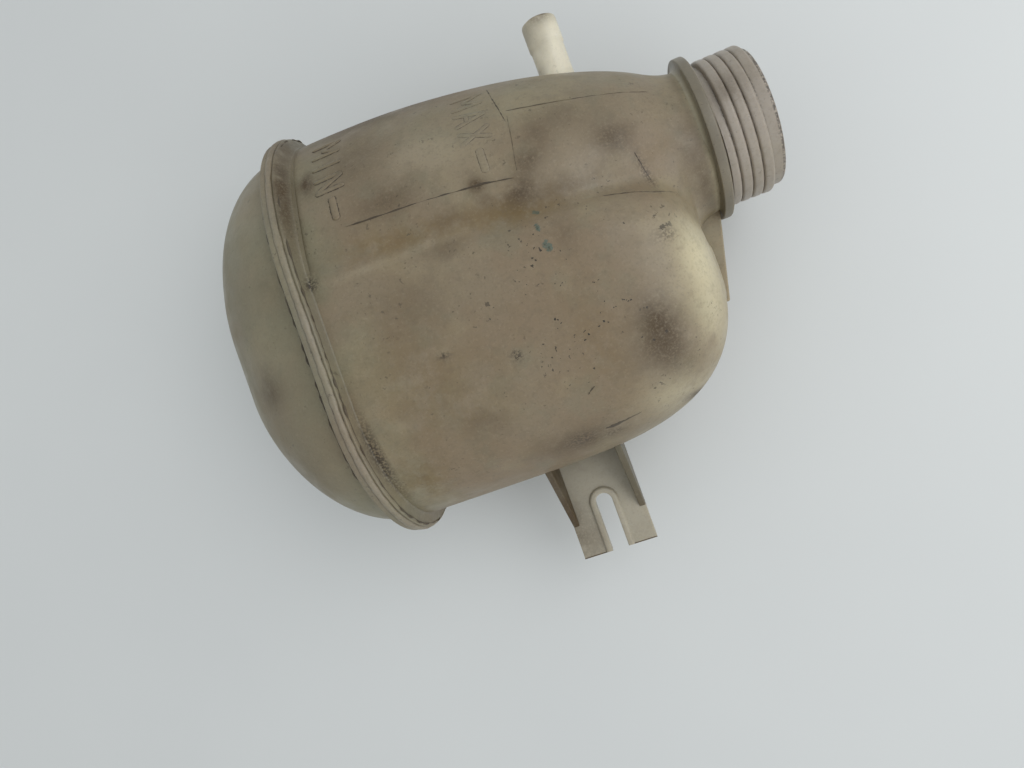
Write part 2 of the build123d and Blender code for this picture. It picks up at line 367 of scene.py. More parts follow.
NIPPLE_GRIME = [(4.8, 101, -63, 4.4, 4.2), (0.5, 94.5, -57, 2.5, 3.5), (1.3, 94.5, -42, 2.0, 2.5)]
# Painted shade on the bracket plate beside its left web
BRACKET_PAINTED_SHADE = [(1.7, 51, 121, 6, 18)]
STAINS = [
    (1.00, 14, 78, 8, 9),
    (0.70, 80, 8, 14, 5),
    (0.45, 24, 40, 16, 24),
    (0.50, 84, 56, 9, 24),
    (0.40, 36, 56, 26, 18),
]
# Painted light: cream patches where light shining through the thin wall at the right end is painted
PAINTED_THROUGH_LIGHT = [(0.92, 121, 41, 8, 14), (0.52, 119, 61, 8, 12), (0.45, 102, 79, 15, 7)]
# Paler patches: painted light on the cap's top and on the upper lobe's middle, and a paler nipple foot
PALE_AND_LIT_PATCHES = [(0.90, -14, -30, 14, 16), (1.00, 100, -42, 9, 7), (0.90, 54, -20, 14, 8)]
# Painted light down the nipple's two lit sides
NIPPLE_PAINTED_LIGHT = [(1.30, 105, -50, 3.5, 12), (1.00, 94.5, -49, 2.5, 4)]
OLIVE = [(0.7, 70, -30, 40, 12)]
GRIT = [
    (1.7, 4.8, 66, 1.2, 13),
    (1.7, 4.6, 7.1, 1.3, 2.2),
    (1.7, 58.4, 50.8, 1.2, 1.5),
    (1.0, 37.2, 43.0, 1.8, 1.1),
    (0.6, 112.8, 32, 3, 2),
    (0.8, 77.6, 84.0, 2.5, 0.8),
    (0.6, 67.0, 82.7, 5, 2),
]
SPECKLE = [(1.0, 86, 40, 26, 28)]


def wear_and_painted_light_marks(along, across, up):
    """Shares of each kind of wear, and of painted light and shade, at each point, as sums of soft patches and
    of bands along the crease and round the neck."""

    def patches(table):
        """Sum of a table's soft patches: bell curves in both directions."""
        return sum(
            strength * bell(along, centre_along, half_along) * bell(across, centre_across, half_across)
            for strength, centre_along, centre_across, half_along, half_across in table
        )

    radius = np.hypot(across, up)
    seen = rise(up, -20, 5)
    on_neck = rise(along, COLLAR_FRONT + 0.2, COLLAR_FRONT + 0.8)
    on_nipple = rise(-across, 40.5, 43)
    on_bracket = rise(across, 95, 100)
    # Brown band just above the crease: painted shade of the crease with a brown stain in it
    crease_shade_and_stain = bell(across - 2.0 - 0.115 * along, -2.5, 5.0) * band(along, 4, 30, 70, 95)
    # Painted highlight along the main lobe's top edge, just below the crease
    crease_highlight = bell(across, 8.6, 1.5) * band(along, 8, 20, 54, 66) * seen
    # Painted light: a pale line on the neck just behind the collar
    lit_line_behind_collar = bell(along, COLLAR_BACK - 1.3, 0.9) * rise(COLLAR_RADIUS - radius, 1.0, 2.0)
    slanting = bell(along - 0.16 * (across - 10), 114.3, 1.4) * bell(across, 10, 6)
    past_root = radius - THREAD_ROOT
    in_thread = band(along, 142.6, 143.4, 154.6, 155.4) * band(past_root, -0.2, -0.05, 0.2, 0.5)
    on_lip = band(along - MOUTH, -1.4, -1.0, -0.3, 0.0) * rise(past_root, -0.8, -0.5)
    grime_and_painted_shade = patches(GRIME) + on_neck * patches(NECK_GRIME) + on_nipple * patches(NIPPLE_GRIME)
    return {
        # Dark film: oily dust, plus painted shade on the bracket plate
        "grime_and_painted_shade": grime_and_painted_shade * seen + on_bracket * patches(BRACKET_PAINTED_SHADE),
        # Stains: coolant stains, and painted shade in the band above the crease
        "stain": (patches(STAINS) + 0.95 * crease_shade_and_stain) * seen,
        # Painted light shining through the wall, fading out on the underside
        "painted_through_light": np.clip(patches(PAINTED_THROUGH_LIGHT) + 0.5 * lit_line_behind_collar, 0, 1) * rise(up, -30, 0),
        # Paler share: the thread's own paler tone, and painted light on lit sides with a painted highlight
        # below the crease
        "pale": on_neck + patches(PALE_AND_LIT_PATCHES) + on_nipple * patches(NIPPLE_PAINTED_LIGHT) + 0.80 * crease_highlight,
        "olive": rise(-along, -26, -6) + patches(OLIVE),
        "grit": (patches(GRIT) + 0.7 * slanting) * seen + 0.5 * in_thread + 0.9 * on_lip,
        "speckle": (patches(SPECKLE) + 0.35) * seen + 0.1,
    }


# Finishes. The mould's waviness and its grain, in mm; the grain is drawn as coarse as it needs to show
WAVES_MM, GRAIN_MM = 9.0, 1.0


def linear(hex_colour):
    """Linear colour of an sRGB hex value."""
    srgb = np.array([int(hex_colour[i : i + 2], 16) for i in (1, 3, 5)]) / 255
    value = np.where(srgb <= 0.04045, srgb / 12.92, ((srgb + 0.055) / 1.055) ** 2.4)
    return (*value.tolist(), 1.0)


def add(tree, kind, inputs=None, **settings):
    """Adds a node to a tree with its settings, then sets or links its inputs."""
    made = tree.nodes.new(kind)
    for key, value in settings.items():
        setattr(made, key, value)
    for key, value in (inputs or {}).items():
        if isinstance(value, bpy.types.NodeSocket):
            tree.links.new(value, made.inputs[key])
        else:
            made.inputs[key].default_value = value
    return made


def fresh_material(name):
    """An empty node material with its output and the place on the object that its clouds follow."""
    material = bpy.data.materials.new(name)
    material.use_nodes = True
    tree = material.node_tree
    tree.nodes.clear()
    output = add(tree, "ShaderNodeOutputMaterial")
    return material, tree, output, add(tree, "ShaderNodeTexCoord").outputs["Object"]


def polypropylene(name, body_hex, pale_and_lit_hex=None, dirt=1.0, roughness=0.44, mottling=1.0):
    """Natural polypropylene, injection moulded and aged: waxy and half clear, yellowed in clouds by hot
    coolant, with a film of oily dust that gathers in patches, brown coolant stains and clusters of black
    specks. Its marks also carry painted light: a lighter layer on lit sides, a cream glow for light shining
    through the wall, and painted shade in the dust film and the stains."""
    material, tree, output, at = fresh_material(name)
    # Each layer: its colour, its strength, the wear mark that holds it, and its clouds, each with a size in
    # mm, detail, roughness, and the levels between which it comes in
    layers = [
        # Paler layer: the thread's paler tone, and painted light on lit sides
        (pale_and_lit_hex or body_hex, 1.0, "pale", [(30.0, 2.0, 0.5, 0.10, 0.45)]),
        ("#79765f", 0.70 * mottling, "olive", [(22.0, 3.0, 0.5, 0.30, 0.60)]),
        ("#7c6a53", 0.55 * mottling, None, [(38.0, 3.0, 0.5, 0.42, 0.64)]),
        ("#92876c", 0.45 * mottling, None, [(24.0, 4.0, 0.6, 0.48, 0.68)]),
        ("#75725e", 0.35 * mottling, None, [(13.0, 4.0, 0.6, 0.50, 0.68)]),
        # Painted light: the cream glow of light shining through the wall
        ("#cdc3a3", 0.92, "painted_through_light", [(14.0, 5.0, 0.6, 0.15, 0.50)]),
        ("#69552f", 0.68 * dirt, "stain", [(9.0, 5.0, 0.7, 0.30, 0.60)]),
        # Dark film: oily dust, and painted shade on the bracket plate
        ("#423116", 0.88 * dirt, "grime_and_painted_shade", [(9.0, 4.0, 0.65, 0.12, 0.54), (0.7, 2.0, 0.6, -0.15, 0.62)]),
        ("#5d5342", 0.20 * dirt, None, [(4.0, 5.0, 0.7, 0.48, 0.66)]),
        ("#544a3a", 0.17 * dirt, None, [(0.9, 2.0, 0.6, 0.52, 0.68)]),
        ("#a89d84", 0.10 * dirt, None, [(1.1, 2.0, 0.6, 0.56, 0.70)]),
        ("#2b2119", 0.90, "grit", [(0.7, 1.0, 0.5, 0.36, 0.60)]),
        ("#251e18", 0.88 * dirt, "speckle", [(1.6, 2.0, 0.6, 0.655, 0.685), (11.0, 2.0, 0.5, 0.50, 0.58)]),
    ]
    colour = linear(body_hex)
    for layer_hex, strength, mark, clouds in layers:
        share = strength
        for size_mm, detail, rough, low, high in clouds:
            scaled = {"Vector": at, "Scale": PER_METRE / size_mm, "Detail": detail, "Roughness": rough}
            cloud = add(tree, "ShaderNodeTexNoise", scaled).outputs["Fac"]
            levels = {"Value": cloud, "From Min": low, "From Max": high}
            eased = add(tree, "ShaderNodeMapRange", levels, interpolation_type="SMOOTHSTEP").outputs[0]
            share = add(tree, "ShaderNodeMath", {0: eased, 1: share}, operation="MULTIPLY").outputs[0]
        if mark:
            worn = add(tree, "ShaderNodeAttribute", attribute_name=mark).outputs["Fac"]
            share = add(tree, "ShaderNodeMath", {0: worn, 1: share}, operation="MULTIPLY").outputs[0]
        mixing = {0: share, 6: colour, 7: linear(layer_hex)}
        colour = add(tree, "ShaderNodeMix", mixing, data_type="RGBA").outputs[2]
    waves_scaled = {"Vector": at, "Scale": PER_METRE / WAVES_MM, "Detail": 4.0}
    waviness = add(tree, "ShaderNodeTexNoise", waves_scaled).outputs["Fac"]
    grain_scaled = {"Vector": at, "Scale": PER_METRE / GRAIN_MM, "Detail": 2.0}
    grain = add(tree, "ShaderNodeTexNoise", grain_scaled).outputs["Fac"]
    dull = {"Value": waviness, "From Min": 0.3, "From Max": 0.7}
    dull |= {"To Min": roughness - 0.06, "To Max": roughness + 0.14}
    wavy = {"Height": waviness, "Strength": 0.16, "Distance": 0.0010}
    pitted = {"Height": grain, "Strength": 0.14, "Distance": 0.0003}
    pitted["Normal"] = add(tree, "ShaderNodeBump", wavy).outputs[0]
    waxy = {
        "Base Color": colour,
        "Roughness": add(tree, "ShaderNodeMapRange", dull).outputs["Result"],
        "IOR": 1.49,
        "Subsurface Weight": 0.20,
        "Subsurface Radius": (1.0, 0.8, 0.5),
        "Subsurface Scale": 0.004,
        "Normal": add(tree, "ShaderNodeBump", pitted).outputs[0],
    }
    shader = add(tree, "ShaderNodeBsdfPrincipled", waxy)
    tree.links.new(shader.outputs[0], output.inputs["Surface"])
    return material


# The same plastic as each piece shows it: brown and dusty on the body, greener and smoother on the cap, dull
# where the weld was melted, paler where its bead was squeezed out, grey and glossier on the thread, cream on
# the clean nipple, light on the thin bracket as painted light shining through it, and dark on its webs as
# painted shade. Dirt and paint lie on the plastic and share its clouds: the dirt is dark and matt, the paint
# a dull blue-green
# Second colours are the paler ones: painted light on body, cap and nipple, the thread's own paler tone on the
# neck
body_plastic = polypropylene("aged_natural_polypropylene", "#80735e", "#968b75")
cap_plastic = polypropylene(
    "aged_polypropylene_cap", "#766f59", "#8a836d", dirt=0.7, roughness=0.38, mottling=0.6
)
weld_plastic = polypropylene("melted_polypropylene_weld", "#777060", mottling=0.6)
bead_plastic = polypropylene("squeezed_polypropylene_bead", "#887f70", mottling=0.5)
neck_plastic = polypropylene(
    "polypropylene_thread", "#716a5c", "#9a9186", dirt=0.7, roughness=0.36, mottling=0.35
)
nipple_plastic = polypropylene("clean_polypropylene_nipple", "#c3bca9", "#dfd8c4", dirt=0.3, mottling=0.1)
# Painted light: the bracket drawn light for light shining through its thin plate
bracket_plastic_painted_light = polypropylene("thin_polypropylene_bracket_painted_light", "#a8a292", dirt=0.55, mottling=0.2)
# Painted shade: the webs drawn dark as the shaded side of the same plastic
web_plastic_painted_shade = polypropylene("polypropylene_bracket_web_painted_shade", "#544e3d", mottling=0.3)
seam_dirt = polypropylene("dirt_in_mould_seam", "#3a3026", dirt=0.3, roughness=0.6, mottling=0.2)
paint_spot = polypropylene("blue_green_paint_spot", "#586558", dirt=0.5, roughness=0.5, mottling=0.2)


# Shell of the body: outer skin from the weld to the collar, then back inside the wall to the weld


def tank_shell():
    """Outer skin rows, then the inner skin's rows in reverse, closed on themselves across the wall."""
    outer = shell_skin(0.0, NECK_RADIUS, ring_rows=52, fan_rows=70, neck_end=137.5)
    inner = shell_skin(WALL, NECK_BORE + 0.4, ring_rows=24, fan_rows=30, neck_end=134.0)
    return closed_grid(np.concatenate([place(*outer), place(*inner)[::-1]]), rows_closed=True)


piece("tank_shell", [tank_shell()], body_plastic, "tank_body")


# Rings that follow the weld


def weld_ring(growth):
    """Outline at the weld, grown outwards: half-ellipse, side, half-ellipse, side, each in equal steps."""
    bow = np.linspace(-pi / 2, pi / 2, BOW_STEPS + 1)[:-1]
    side = np.linspace(0, 1, SIDE_STEPS + 1)[:-1]
    low = (MAIN_CENTRE + (MAIN_DROP + growth) * np.cos(bow), (LOBE_DEPTH + growth) * np.sin(bow))
    high = (UPPER_CENTRE - (UPPER_RISE + growth) * np.cos(bow), -(LOBE_DEPTH + growth) * np.sin(bow))
    run = MAIN_CENTRE + (UPPER_CENTRE - MAIN_CENTRE) * side
    flat = (LOBE_DEPTH + growth) * np.ones_like(side)
    across = np.concatenate([low[0], run, high[0], run[::-1] + (run[0] - run[1])])
    return across, np.concatenate([low[1], flat, high[1], -flat])


def ring_place(growth, station):
    """Places at a distance outwards from the weld outline and a distance along the axis from it."""
    inner_across, inner_up = weld_ring(0.0)
    outer_across, outer_up = weld_ring(1.0)
    across = inner_across + (outer_across - inner_across) * growth
    return place(station, across, inner_up + (outer_up - inner_up) * growth)


def weld_flange(side, flat, foot, high_foot):
    """One flange carried round the weld: a groove beside the weld, a top, a shallow step, and a smooth fall
    to the wall at its foot, which lies further from the weld over the upper lobe."""
    fall = np.linspace(0, 1, 14)
    slope = FLANGE_REACH - (FLANGE_REACH - 0.1) * rise(fall, 0, 1)
    step = [-FLANGE_SUNK, FLANGE_REACH - 0.5, FLANGE_REACH - 0.35, FLANGE_REACH - 0.05]
    growth = np.concatenate([step, slope, [-FLANGE_SUNK]])[:, None]
    reach = foot + (high_foot - foot) * rise(-weld_ring(0.0)[0], -8, 22)[None, :]
    level = [np.full_like(reach, station) for station in (0.1, 0.7, 1.1, min(1.6, flat))]
    station = np.concatenate(level + [flat + (reach - flat) * fall[:, None], reach + 0.6])
    return closed_grid(ring_place(growth, side * station), rows_closed=True)


body_flange = weld_flange(1, flat=1.9, foot=4.0, high_foot=5.6)
piece("body_flange", [body_flange], weld_plastic, "tank_body")
cap_flange = weld_flange(-1, flat=2.8, foot=5.0, high_foot=5.6)
piece("cap_flange", [cap_flange], weld_plastic, "end_cap")

ROUND_THE_WELD = np.linspace(0, 2 * pi, COLUMNS, endpoint=False)[None, :]


def ring_rod(growth, station, wide, high):
    """An oval rod that follows the weld outline; its place and size may change on the way round."""
    bend = np.linspace(0, 2 * pi, 12, endpoint=False)[:, None]
    points = ring_place(growth + high * np.cos(bend), station + wide * np.sin(bend))
    return closed_grid(points, rows_closed=True)


def waves(*terms):
    """Sum of sines round the weld, each with its height, count and start."""
    return sum(height * np.sin(count * ROUND_THE_WELD + start) for height, count, start in terms)


def uneven_round(level, *terms):
    """Shares between nought and one round the weld: a level plus a sum of sines, cut off at both ends."""
    return np.clip(level + waves(*terms), 0, 1)


bead_uneven = waves((0.05, 31, 0.3), (0.05, 53, 1.9), (0.05, 77, 4.0), (0.06, 13, 2.2), (0.04, 97, 0.9))
bead_growth = BEAD_REACH - 1.0 + np.minimum(0.6 * bead_uneven, 0.1)
bead_rod = ring_rod(bead_growth, 0.1 * bead_uneven, 1.15 + bead_uneven, 0.85)
piece("weld_bead", [bead_rod], bead_plastic, "end_cap")

broken = uneven_round(0.35, (0.4, 17, 0.4), (0.4, 41, 2.0), (0.35, 66, 5.1))
patchy = uneven_round(0.25, (0.4, 9, 1.2), (0.4, 35, 0.6), (0.4, 59, 3.3))
grooved = uneven_round(0.15, (0.4, 7, 4.4), (0.4, 29, 1.1), (0.4, 63, 2.7))
streaky = uneven_round(0.3, (0.4, 11, 3.0), (0.4, 47, 0.2), (0.35, 71, 1.3))
cap_foot, body_groove = -5.2 + waves((0.15, 23, 0.0)), 2.6 + 0.2 * patchy
groove = FLANGE_REACH - 0.45
dirt_rods = [
    ring_rod(0.3 * broken - 0.3, cap_foot, 0.10 + 0.40 * broken, 0.05 + 0.35 * broken),
    ring_rod(groove - 0.3 * (1 - patchy), -1.05, 0.08 + 0.22 * patchy, 0.05 + 0.20 * patchy),
    ring_rod(groove - 0.3 * (1 - streaky), 1.25, 0.08 + 0.25 * streaky, 0.05 + 0.20 * streaky),
    ring_rod(groove - 0.5 * (1 - grooved), body_groove, 0.08 + 0.40 * grooved, 0.05 + 0.30 * grooved),
]
piece("weld_dirt", dirt_rods, seam_dirt, "end_cap", FINE_SHARP)


def cap_dome():
    """Weld outline drawn in as rounded lengths over the depth, outside and inside, joined at the weld; the
    top half keeps its size longer, with a shallow hollow where it meets the lower half."""
    bend = np.linspace(0, pi / 2, 60)[:-1]

    def ring(turn, growth, depth):
        """One row of the dome at a turn from the weld."""
        share, top_share = np.cos(turn), barrel(np.sin(turn), CAP_TOP_POWER)
        across, up = weld_ring(growth)
        high = rise(-across, -30.0, -6.0)
        drawn = CAP_CENTRE + (across - CAP_CENTRE) * (share + (top_share - share) * high)
        hollow = 1.0 - 0.012 * np.sin(2 * turn) * bell(across, -24.0, 9.0)
        return place(-depth * np.sin(turn), drawn, up * share * hollow)

    outer = [ring(turn, 0.0, CAP_DEPTH) for turn in bend]
    inner = [ring(turn, -WALL, CAP_DEPTH - WALL) for turn in bend[::2]]
    return closed_grid(np.stack(inner[::-1] + outer), ends="poles")


piece("cap_dome", [cap_dome()], cap_plastic, "end_cap")


# Round pieces


def turned(radius, distance, origin, axis, first, second):
    """A closed profile spun about an axis, with a radius and a distance for each row and turn; the origin,
    the axis and the two directions square to it are given in tank axes."""
    turn = np.linspace(0, 2 * pi, radius.shape[1], endpoint=False)[None, :]
    parts = [
        origin[i] + distance * axis[i] + radius * (np.cos(turn) * first[i] + np.sin(turn) * second[i])
        for i in range(3)
    ]
    return closed_grid(place(*parts), rows_closed=True)


def arc(centre, radius, start, end, count=7):
    """Points of a small round in a profile."""
    bend = np.radians(np.linspace(start, end, count))
    return [(centre[0] + radius * np.cos(t), centre[1] + radius * np.sin(t)) for t in bend]


def filler_neck():
    """Collar, thread, lip and bore as one spun profile; the thread is a ridge whose crest climbs one pitch
    a turn."""
    outside = (
        [(NECK_RADIUS - 0.6, COLLAR_BACK - 3.0)]
        + arc((NECK_RADIUS + 2.3, COLLAR_BACK - COLLAR_FILLET), COLLAR_FILLET, 180, 90)
        + arc((COLLAR_RADIUS - BACK_ROUND, COLLAR_BACK + BACK_ROUND), BACK_ROUND, -90, 0)
        + arc((COLLAR_RADIUS - FRONT_ROUND, COLLAR_FRONT - FRONT_ROUND), FRONT_ROUND, 0, 90)
        + arc((THREAD_ROOT + THREAD_FILLET, COLLAR_FRONT + THREAD_FILLET), THREAD_FILLET, 270, 180)
    )
    thread = [(THREAD_ROOT, station) for station in np.linspace(COLLAR_FRONT + 1.0, MOUTH - 1.3, 130)]
    inside = (
        arc((THREAD_ROOT - LIP_ROUND, MOUTH - LIP_ROUND), LIP_ROUND, 0, 90)
        + arc((NECK_BORE + BORE_ROUND, MOUTH - BORE_ROUND), BORE_ROUND, 90, 180)
        + [(NECK_BORE, station) for station in np.linspace(MOUTH - 2, BORE_END, 12)]
    )
    profile = np.array(outside + thread + inside)
    turn = np.linspace(0, 1, COLUMNS, endpoint=False)[None, :]
    radius, station = profile[:, :1] + 0 * turn, profile[:, 1:] + 0 * turn
    climb = (station - THREAD_START) / THREAD_PITCH
    turns = np.round(climb - turn) + turn
    tooth = barrel(np.abs(climb - turns) / 0.5, TOOTH_POWER)
    runs = rise(turns, -0.02, 0.10) * rise(-turns, -THREAD_TURNS, -THREAD_TURNS + 0.16)
    threaded = (station > COLLAR_FRONT + THREAD_FILLET) & (station < MOUTH - LIP_ROUND)
    threaded &= radius >= THREAD_ROOT - 0.01
    radius = radius + THREAD_DEPTH * tooth * runs * threaded
    return turned(radius, station, (0, 0, 0), (1, 0, 0), (0, 0, 1), (0, 1, 0))


piece("filler_neck", [filler_neck()], neck_plastic, "tank_body", THREAD_SHARP)


def hose_tube(base, tip, radius, bead_radius, bead_length, bore, chamfer):
    """Radii and distances of a hose nipple: tube, thick end with a chamfer, rounded mouth and bore."""
    step = tip - bead_length
    shoulder = tip - chamfer
    mouth_radius = bead_radius - chamfer
    profile = (
        [(radius + 1.6, base), (radius + 0.4, base + 1.2)]
        + [(radius, station) for station in np.linspace(base + 3.0, step - 0.4, 10)]
        + [(bead_radius, station) for station in np.linspace(step + 0.4, shoulder - 0.3, 10)]
        + [(bead_radius - 0.15, shoulder + 0.3), (mouth_radius, tip - 0.15), (mouth_radius - 0.3, tip)]
        + [(bore + 0.3, tip), (bore, tip - 0.3), (bore, base)]
    )
    return [np.repeat(column[:, None], TUBE_COLUMNS, 1) for column in np.array(profile).T]


nipple_profile = hose_tube(
    NIPPLE_BASE, NIPPLE_TIP, NIPPLE_RADIUS, NIPPLE_BEAD, NIPPLE_BEAD_LENGTH, NIPPLE_BORE, NIPPLE_CHAMFER
)
vent_nipple = turned(*nipple_profile, (NIPPLE_STATION, 0, 0), (0, -1, 0), (1, 0, 0), (0, 0, 1))
piece("vent_nipple", [vent_nipple], nipple_plastic, "tank_body")

outlet_profile = hose_tube(
    OUTLET_BASE, OUTLET_END, OUTLET_RADIUS, OUTLET_BEAD, OUTLET_BEAD_LENGTH, OUTLET_BORE, OUTLET_CHAMFER
)
lower_outlet = turned(*outlet_profile, (0, OUTLET_ACROSS, OUTLET_UP), (-1, 0, 0), (0, 1, 0), (0, 0, 1))
piece("lower_outlet", [lower_outlet], cap_plastic, "end_cap")


# Flat pieces


def prism(ring, start, end, order):
    """A flat outline carried in a straight line; order gives the tank axes of the outline and the line."""
    ring = np.array(ring, float)
    sides = []
    for station in (start, end):
        parts = [None] * 3
        parts[order[0]], parts[order[1]] = ring[:, 0], ring[:, 1]
        parts[order[2]] = np.full(len(ring), station)
        sides.append(place(*parts))
    return closed_grid(np.stack(sides), ends="caps")


def soften(made, width_mm):
    """Rounds the edges of a flat piece with a bevel."""
    bevel = made.modifiers.new("edge_round", "BEVEL")
    bevel.width = width_mm * MM
    bevel.segments = 3
    bevel.limit_method = "ANGLE"


rib_ring = [
    (RIB_INSIDE, RIB_TOP),
    (COLLAR_BACK, RIB_TOP),
    (COLLAR_BACK, NECK_RADIUS),
    (MAIN_LENGTH + 1.0, RIB_FOOT),
    (RIB_INSIDE, RIB_FOOT),
]
rib = prism(rib_ring, -RIB_HALF, RIB_HALF, (0, 1, 2))
soften(piece("neck_rib", [rib], body_plastic, "tank_body"), 0.5)

web_ring = [
    (BRACKET_ROOT, BRACKET_UNDER),
    (WEB_END, BRACKET_UNDER),
    (WEB_END, BRACKET_FACE),
    (BRACKET_ROOT, BRACKET_FACE + WEB_SLOPE * (WEB_END - BRACKET_ROOT)),
]
web_starts = (BRACKET_LEFT, BRACKET_RIGHT - WEB_THICKNESS)
webs = [prism(web_ring, start, start + WEB_THICKNESS, (1, 2, 0)) for start in web_starts]
soften(piece("bracket_webs", webs, web_plastic_painted_shade, "tank_body"), 0.4)


def bracket_plate():
    """Rows run from the slot's edge to the plate's edge, columns follow the slot from foot to foot; the rim
    stands up beside the slot, and the rows go back along the under face."""
    bend = np.linspace(0, pi, 33)
    legs = np.linspace(BRACKET_TIP, SLOT_END, 24)[:-1]

    def track(half_along, reach):
        """A line down one leg, round the slot's end at a reach from its centre, and up the other leg."""
        along = np.concatenate([0 * legs - half_along, -reach * np.cos(bend), 0 * legs + half_along])
        across = np.concatenate([legs, SLOT_END - reach * np.sin(bend), legs[::-1]])
        return along + BRACKET_STATION, across

    def beside_slot(offset):
        """The slot's edge moved outwards by an offset."""
        half = SLOT_WIDTH / 2 + offset
        return track(half, half)

    wide = BRACKET_WIDTH / 2
    high = SLOT_END - BRACKET_ROOT
    reach = np.minimum(wide / np.maximum(np.abs(np.cos(bend)), 1e-6), high / np.maximum(np.sin(bend), 1e-6))
    plate_edge = track(wide, reach)
    rim = BRACKET_FACE + RIM_HEIGHT
    rows = [
        (*beside_slot(0.0), BRACKET_UNDER),
        (*beside_slot(0.0), rim - 0.3),
        (*beside_slot(0.3), rim),
        (*beside_slot(RIM_WIDTH - 0.5), rim),
        (*beside_slot(RIM_WIDTH), rim - 0.4),
        (*beside_slot(RIM_WIDTH + 0.3), BRACKET_FACE),
        (*plate_edge, BRACKET_FACE),
        (*plate_edge, BRACKET_UNDER),
    ]
    return closed_grid(np.stack([place(*row) for row in rows]).transpose(1, 0, 2), ends="caps")


soften(piece("bracket_plate", [bracket_plate()], bracket_plastic_painted_light, "tank_body"), 0.25)

# Dirt held by the bracket's cut ends
dirt_low, dirt_high = BRACKET_FACE - 0.4, BRACKET_FACE + 0.1
dirt_in, dirt_out = BRACKET_TIP - 0.15, BRACKET_TIP + 0.20
edge_ring = [(dirt_in, dirt_low), (dirt_in, dirt_high), (dirt_out, dirt_high), (dirt_out, dirt_low)]
edge_dirt = [
    prism(edge_ring, BRACKET_LEFT, BRACKET_STATION - SLOT_WIDTH / 2, (1, 2, 0)),
    prism(edge_ring, BRACKET_STATION + SLOT_WIDTH / 2, BRACKET_RIGHT, (1, 2, 0)),
]
piece("dirt_on_bracket_ends", edge_dirt, seam_dirt, "tank_body")


# Raised marks that lie on the skin


def skin_bead(along, across, width, height):
    """An oval rod laid along a line on the skin and half sunk in it, drawn in to a point at both ends."""
    up = skin_height(along, across)
    line = np.stack([along, across, up], -1)
    normal = skin_normal(along, across, up)
    run = np.gradient(line, axis=0)
    run /= np.linalg.norm(run, axis=1, keepdims=True)
    side = np.cross(run, normal)
    bend = np.linspace(0, 2 * pi, 10, endpoint=False)[None, :, None]
    ends = np.linspace(-1, 1, len(along))
    full = np.sqrt(1 - 0.995 * np.abs(ends) ** 14)[:, None, None]
    half_width = np.broadcast_to(width, along.shape)[:, None, None] / 2
    outline = np.cos(bend) * side[:, None] * half_width + np.sin(bend) * normal[:, None] * height
    rod = line[:, None] + full * outline
    return closed_grid(place(rod[..., 0], rod[..., 1], rod[..., 2]), ends="poles")


# Strokes of each letter, from end to end in shares of its width and height
LETTERS = {
    "M": [(0, 0, 0, 1), (0, 1, 0.5, 0.35), (0.5, 0.35, 1, 1), (1, 1, 1, 0)],
    "I": [(0.5, 0, 0.5, 1)],
    "N": [(0, 0, 0, 1), (0, 1, 1, 0), (1, 0, 1, 1)],
    "A": [(0, 0, 0.5, 1), (0.5, 1, 1, 0), (0.2, 0.4, 0.8, 0.4)],
    "X": [(0, 0, 1, 1), (0, 1, 1, 0)],
}
LETTER_HEIGHT, LETTER_WIDTH, LETTER_GAP = 11.0, 4.6, 2.6
STROKE_WIDTH = 1.5
BAR_WIDTH, BAR_LENGTH = 2.6, 8.5


def level_strokes(word, foot, start):
    """Lines of a word's letters and of the bar beside it; the letters stand along the axis and read
    across it."""
    step = np.linspace(0, 1, 22)
    strokes = []
    for number, letter in enumerate(word):
        left = start + number * (LETTER_WIDTH + LETTER_GAP)
        for x0, y0, x1, y1 in LETTERS[letter]:
            across = left + LETTER_WIDTH * (x0 + (x1 - x0) * step)
            along = foot + LETTER_HEIGHT * (y0 + (y1 - y0) * step)
            strokes.append((along, across, STROKE_WIDTH))
    bar = start + len(word) * (LETTER_WIDTH + LETTER_GAP) + BAR_LENGTH * step
    strokes.append((np.full_like(bar, foot + LETTER_HEIGHT / 2), bar, BAR_WIDTH))
    return strokes


def uneven(count, start):
    """Shares between nought and one that rise and fall along a line, as a sum of sines."""
    step = np.linspace(0, 2 * pi, count)
    summed = np.sin(1.7 * step + start) + np.sin(4.3 * step + 2 * start) + np.sin(9.1 * step + 3 * start)
    return np.clip(0.5 + 0.3 * summed, 0, 1)


# Each level mark: its word, its place along and across, and the height to which its strokes are worn
LEVELS = [("MIN", 12.8, -40.3, 0.42), ("MAX", 63.0, -36.0, 0.16)]
marks, halos = [], []
for word, foot, start, height in LEVELS:
    for number, (along, across, width) in enumerate(level_strokes(word, foot, start)):
        marks.append(skin_bead(along, across, width, height))
        dirty = width + 0.05 + 1.6 * height * uneven(len(along), number)
        halos.append(skin_bead(along, across, dirty, 0.3 * height))
piece("level_marks", marks, body_plastic, "tank_body", FINE_SHARP)
piece("dirt_round_marks", halos, seam_dirt, "tank_body", FINE_SHARP)


def seam(points, width, height, start, steady=0.15, count=120):
    """A thin line through given points of the skin, straight between them, with one width or a width at
    each point, of which a steady share is kept and the rest comes and goes."""
    knots = np.array(points, float)
    share = np.linspace(0, 1, len(knots))
    fine = np.linspace(0, 1, count)
    wander = 0.12 * (uneven(count, start + 1.0) - 0.5)
    along = np.interp(fine, share, knots[:, 0])
    across = np.interp(fine, share, knots[:, 1]) + wander
    widths = np.interp(fine, share, np.broadcast_to(width, len(knots)))
    return skin_bead(along, across, widths * (steady + (1 - steady) * uneven(count, start)), height)


